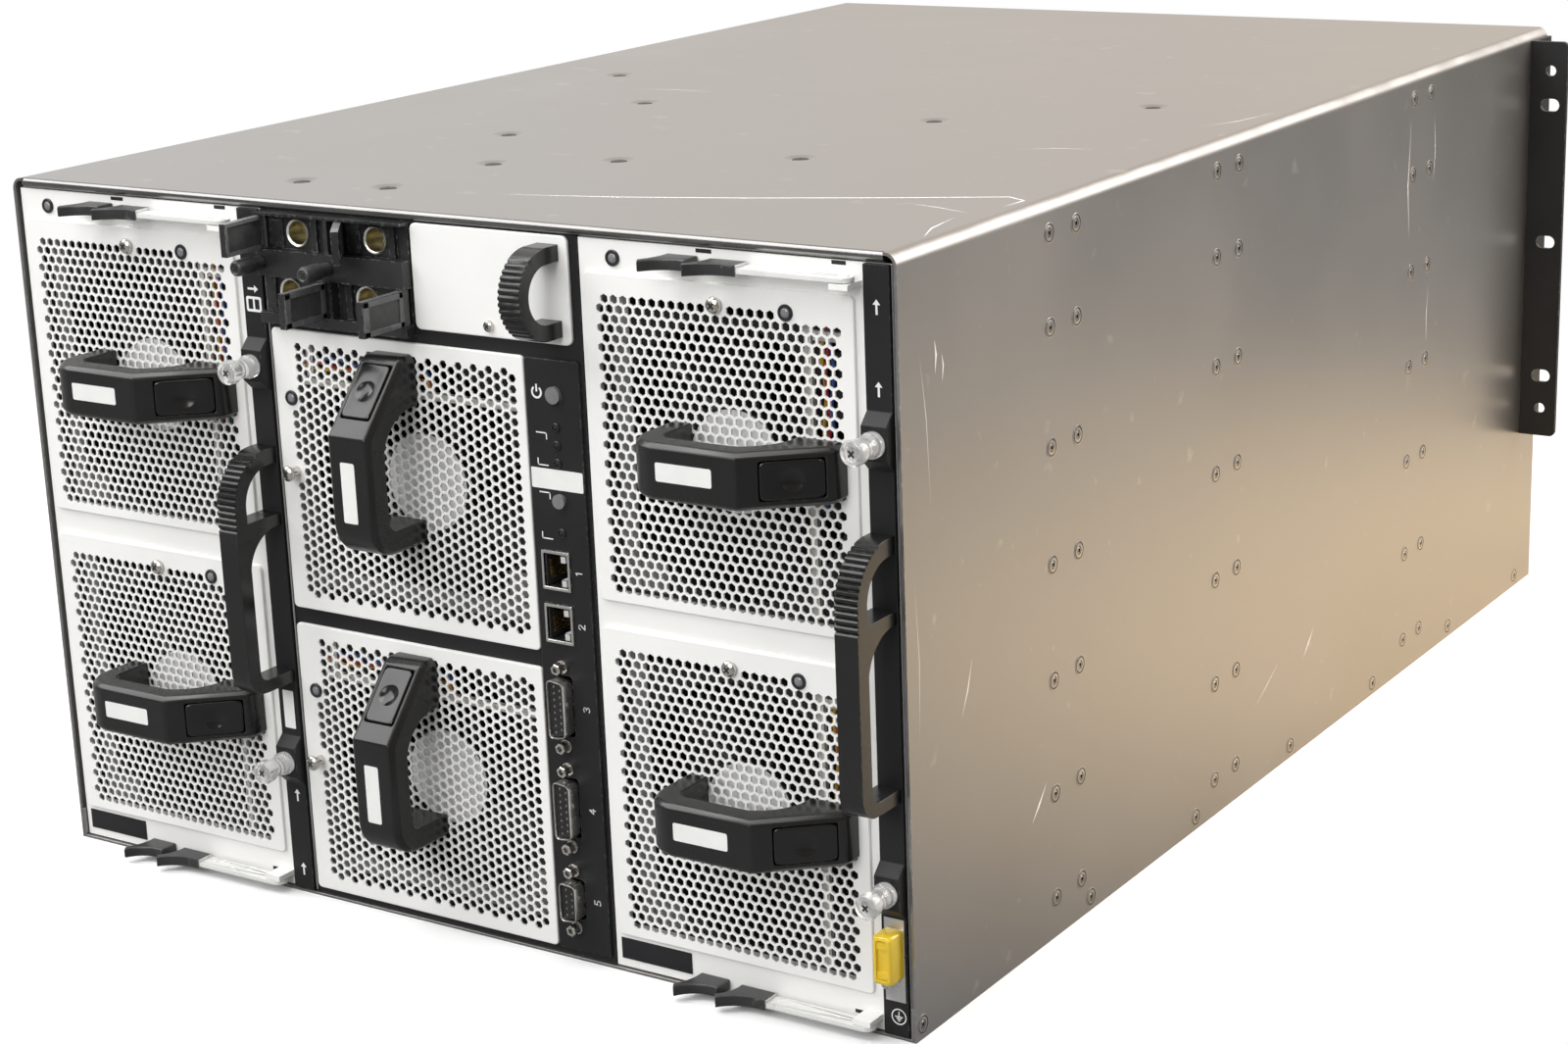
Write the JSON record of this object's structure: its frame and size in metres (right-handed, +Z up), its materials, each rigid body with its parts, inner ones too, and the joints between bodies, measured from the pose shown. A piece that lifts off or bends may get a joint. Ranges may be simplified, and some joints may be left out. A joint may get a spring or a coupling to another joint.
{
  "type": "modular network chassis",
  "caption": "Rack chassis for a modular network switch, seen from its service side: slide-out side modules, plug-in fans with handles, power inlet with hinged flaps and a control strip.",
  "frame": {"origin": "centre of the underside", "axes": "+Z up, -Y towards someone facing the service side, +X to their right"},
  "size_m": [0.4826, 0.704, 0.304],
  "materials": {
    "shell_paint": "satin",
    "black_frame": "satin",
    "board": "matte",
    "white_paint": "satin",
    "black_plastic": "satin",
    "gloss_black": "gloss",
    "lever": "satin",
    "bright_steel": "bright",
    "connector_steel": "bright",
    "fan_plastic": "matte",
    "brass": "turned",
    "yellow_cap": "gloss"
  },
  "bodies": {
    "chassis": {"outer_wrap": "shell_paint", "bottom_pan": "shell_paint", "bay_frame": "black_frame", "midplane": "board", "front_panels": "shell_paint", "rack_ears": "black_frame", "terminal_block": "black_plastic", "terminal_sockets": "brass", "control_panel": "black_frame", "panel_connectors": "connector_steel"},
    "left_module": {"left_tray": "white_paint", "left_bracket": "black_frame", "left_pull_handle": "black_plastic", "left_finger_tabs": "black_plastic"},
    "right_module": {"right_tray": "white_paint", "right_bracket": "black_frame", "right_pull_handle": "black_plastic", "right_finger_tabs": "black_plastic", "ground_cap": "yellow_cap"},
    "fan_left_top": {"fan_left_top_carrier": "white_paint", "fan_left_top_handle": "black_plastic"},
    "fan_left_top_rotor": {"fan_left_top_rotor": "fan_plastic"},
    "fan_left_top_button": {"fan_left_top_button": "gloss_black"},
    "fan_left_bottom": {"fan_left_bottom_carrier": "white_paint", "fan_left_bottom_handle": "black_plastic"},
    "fan_left_bottom_rotor": {"fan_left_bottom_rotor": "fan_plastic"},
    "fan_left_bottom_button": {"fan_left_bottom_button": "gloss_black"},
    "fan_right_top": {"fan_right_top_carrier": "white_paint", "fan_right_top_handle": "black_plastic"},
    "fan_right_top_rotor": {"fan_right_top_rotor": "fan_plastic"},
    "fan_right_top_button": {"fan_right_top_button": "gloss_black"},
    "fan_right_bottom": {"fan_right_bottom_carrier": "white_paint", "fan_right_bottom_handle": "black_plastic"},
    "fan_right_bottom_rotor": {"fan_right_bottom_rotor": "fan_plastic"},
    "fan_right_bottom_button": {"fan_right_bottom_button": "gloss_black"},
    "fan_center_top": {"fan_center_top_carrier": "white_paint", "fan_center_top_handle": "black_plastic"},
    "fan_center_top_rotor": {"fan_center_top_rotor": "fan_plastic"},
    "fan_center_top_button": {"fan_center_top_button": "gloss_black"},
    "fan_center_bottom": {"fan_center_bottom_carrier": "white_paint", "fan_center_bottom_handle": "black_plastic"},
    "fan_center_bottom_rotor": {"fan_center_bottom_rotor": "fan_plastic"},
    "fan_center_bottom_button": {"fan_center_bottom_button": "gloss_black"},
    "left_top_lever": {"left_top_lever": "lever"},
    "left_bottom_lever": {"left_bottom_lever": "lever"},
    "left_top_screw": {"left_top_screw": "bright_steel"},
    "left_bottom_screw": {"left_bottom_screw": "bright_steel"},
    "right_top_lever": {"right_top_lever": "lever"},
    "right_bottom_lever": {"right_bottom_lever": "lever"},
    "right_top_screw": {"right_top_screw": "bright_steel"},
    "right_bottom_screw": {"right_bottom_screw": "bright_steel"},
    "flap_a_top": {"flap_a_top": "black_plastic"},
    "flap_a_bottom": {"flap_a_bottom": "black_plastic"},
    "flap_b_top": {"flap_b_top": "black_plastic"},
    "flap_b_bottom": {"flap_b_bottom": "black_plastic"},
    "terminal_screw_a": {"terminal_screw_a": "black_plastic"},
    "terminal_screw_b": {"terminal_screw_b": "black_plastic"},
    "filler_panel": {"filler_panel": "white_paint"},
    "power_button": {"power_button": "black_plastic"},
    "alarm_button": {"alarm_button": "black_plastic"}
  },
  "joints": [
    {"name": "left_module_slide", "type": "slide", "parent": "chassis", "child": "left_module", "axis": [0, -1, 0], "range_m": [0, 0.3]},
    {"name": "right_module_slide", "type": "slide", "parent": "chassis", "child": "right_module", "axis": [0, -1, 0], "range_m": [0, 0.3]},
    {"name": "fan_left_top_slide", "type": "slide", "parent": "left_module", "child": "fan_left_top", "axis": [0, -1, 0], "range_m": [0, 0.15]},
    {"name": "fan_left_top_spin", "type": "hinge", "parent": "fan_left_top", "child": "fan_left_top_rotor", "pos_m": [-0.1561, -0.306, 0.217], "axis": [0, 1, 0], "continuous": true},
    {"name": "fan_left_top_release", "type": "slide", "parent": "fan_left_top", "child": "fan_left_top_button", "axis": [-0.6555, 0.7552, 0], "range_m": [0, 0.002], "stiffness_N_per_m": 2000, "springref_m": -0.0005},
    {"name": "fan_left_bottom_slide", "type": "slide", "parent": "left_module", "child": "fan_left_bottom", "axis": [0, -1, 0], "range_m": [0, 0.15]},
    {"name": "fan_left_bottom_spin", "type": "hinge", "parent": "fan_left_bottom", "child": "fan_left_bottom_rotor", "pos_m": [-0.1561, -0.306, 0.0761], "axis": [0, 1, 0], "continuous": true},
    {"name": "fan_left_bottom_release", "type": "slide", "parent": "fan_left_bottom", "child": "fan_left_bottom_button", "axis": [-0.6555, 0.7552, 0], "range_m": [0, 0.002], "stiffness_N_per_m": 2000, "springref_m": -0.0005},
    {"name": "fan_right_top_slide", "type": "slide", "parent": "right_module", "child": "fan_right_top", "axis": [0, -1, 0], "range_m": [0, 0.15]},
    {"name": "fan_right_top_spin", "type": "hinge", "parent": "fan_right_top", "child": "fan_right_top_rotor", "pos_m": [0.1431, -0.306, 0.217], "axis": [0, 1, 0], "continuous": true},
    {"name": "fan_right_top_release", "type": "slide", "parent": "fan_right_top", "child": "fan_right_top_button", "axis": [-0.6555, 0.7552, 0], "range_m": [0, 0.002], "stiffness_N_per_m": 2000, "springref_m": -0.0005},
    {"name": "fan_right_bottom_slide", "type": "slide", "parent": "right_module", "child": "fan_right_bottom", "axis": [0, -1, 0], "range_m": [0, 0.15]},
    {"name": "fan_right_bottom_spin", "type": "hinge", "parent": "fan_right_bottom", "child": "fan_right_bottom_rotor", "pos_m": [0.1431, -0.306, 0.0761], "axis": [0, 1, 0], "continuous": true},
    {"name": "fan_right_bottom_release", "type": "slide", "parent": "fan_right_bottom", "child": "fan_right_bottom_button", "axis": [-0.6555, 0.7552, 0], "range_m": [0, 0.002], "stiffness_N_per_m": 2000, "springref_m": -0.0005},
    {"name": "fan_center_top_slide", "type": "slide", "parent": "chassis", "child": "fan_center_top", "axis": [0, -1, 0], "range_m": [0, 0.15]},
    {"name": "fan_center_top_spin", "type": "hinge", "parent": "fan_center_top", "child": "fan_center_top_rotor", "pos_m": [-0.0084, -0.306, 0.191], "axis": [0, 1, 0], "continuous": true},
    {"name": "fan_center_top_release", "type": "slide", "parent": "fan_center_top", "child": "fan_center_top_button", "axis": [0, 0.7552, -0.6555], "range_m": [0, 0.002], "stiffness_N_per_m": 2000, "springref_m": -0.0005},
    {"name": "fan_center_bottom_slide", "type": "slide", "parent": "chassis", "child": "fan_center_bottom", "axis": [0, -1, 0], "range_m": [0, 0.15]},
    {"name": "fan_center_bottom_spin", "type": "hinge", "parent": "fan_center_bottom", "child": "fan_center_bottom_rotor", "pos_m": [-0.0084, -0.306, 0.064], "axis": [0, 1, 0], "continuous": true},
    {"name": "fan_center_bottom_release", "type": "slide", "parent": "fan_center_bottom", "child": "fan_center_bottom_button", "axis": [0, 0.7552, -0.6555], "range_m": [0, 0.002], "stiffness_N_per_m": 2000, "springref_m": -0.0005},
    {"name": "left_top_eject", "type": "hinge", "parent": "left_module", "child": "left_top_lever", "pos_m": [-0.0971, -0.3403, 0.2942], "axis": [0, 0, 1], "range_deg": [0, 70]},
    {"name": "left_bottom_eject", "type": "hinge", "parent": "left_module", "child": "left_bottom_lever", "pos_m": [-0.0971, -0.3403, 0.0049], "axis": [0, 0, 1], "range_deg": [0, 70]},
    {"name": "left_top_screw_turn", "type": "hinge", "parent": "left_module", "child": "left_top_screw", "pos_m": [-0.0861, -0.3485, 0.235], "axis": [0, 1, 0], "continuous": true},
    {"name": "left_bottom_screw_turn", "type": "hinge", "parent": "left_module", "child": "left_bottom_screw", "pos_m": [-0.0861, -0.3485, 0.0615], "axis": [0, 1, 0], "continuous": true},
    {"name": "right_top_eject", "type": "hinge", "parent": "right_module", "child": "right_top_lever", "pos_m": [0.2021, -0.3403, 0.2942], "axis": [0, 0, 1], "range_deg": [0, 70]},
    {"name": "right_bottom_eject", "type": "hinge", "parent": "right_module", "child": "right_bottom_lever", "pos_m": [0.2021, -0.3403, 0.0049], "axis": [0, 0, 1], "range_deg": [0, 70]},
    {"name": "right_top_screw_turn", "type": "hinge", "parent": "right_module", "child": "right_top_screw", "pos_m": [0.2131, -0.3485, 0.235], "axis": [0, 1, 0], "continuous": true},
    {"name": "right_bottom_screw_turn", "type": "hinge", "parent": "right_module", "child": "right_bottom_screw", "pos_m": [0.2131, -0.3485, 0.0615], "axis": [0, 1, 0], "continuous": true},
    {"name": "flap_a_top_hinge", "type": "hinge", "parent": "chassis", "child": "flap_a_top", "pos_m": [-0.0755, -0.33875, 0.2915], "axis": [0, 0, 1], "range_deg": [0, 88]},
    {"name": "flap_a_bottom_hinge", "type": "hinge", "parent": "chassis", "child": "flap_a_bottom", "pos_m": [-0.0438, -0.33875, 0.266], "axis": [0, 0, -1], "range_deg": [0, 90]},
    {"name": "flap_b_top_hinge", "type": "hinge", "parent": "chassis", "child": "flap_b_top", "pos_m": [-0.035, -0.33875, 0.2915], "axis": [0, 0, 1], "range_deg": [-36, 52]},
    {"name": "flap_b_bottom_hinge", "type": "hinge", "parent": "chassis", "child": "flap_b_bottom", "pos_m": [-0.0033, -0.33875, 0.266], "axis": [0, 0, -1], "range_deg": [0, 90]},
    {"name": "terminal_screw_a_turn", "type": "hinge", "parent": "chassis", "child": "terminal_screw_a", "pos_m": [-0.076, -0.3485, 0.279], "axis": [0, 1, 0], "continuous": true},
    {"name": "terminal_screw_b_turn", "type": "hinge", "parent": "chassis", "child": "terminal_screw_b", "pos_m": [-0.04015, -0.3485, 0.279], "axis": [0, 1, 0], "continuous": true},
    {"name": "filler_slide", "type": "slide", "parent": "chassis", "child": "filler_panel", "axis": [0, -1, 0], "range_m": [0, 0.1]},
    {"name": "power_press", "type": "slide", "parent": "chassis", "child": "power_button", "axis": [0, 1, 0], "range_m": [0, 0.001], "stiffness_N_per_m": 1000, "springref_m": -0.0005},
    {"name": "alarm_press", "type": "slide", "parent": "chassis", "child": "alarm_button", "axis": [0, 1, 0], "range_m": [0, 0.001], "stiffness_N_per_m": 1000, "springref_m": -0.0005}
  ]
}
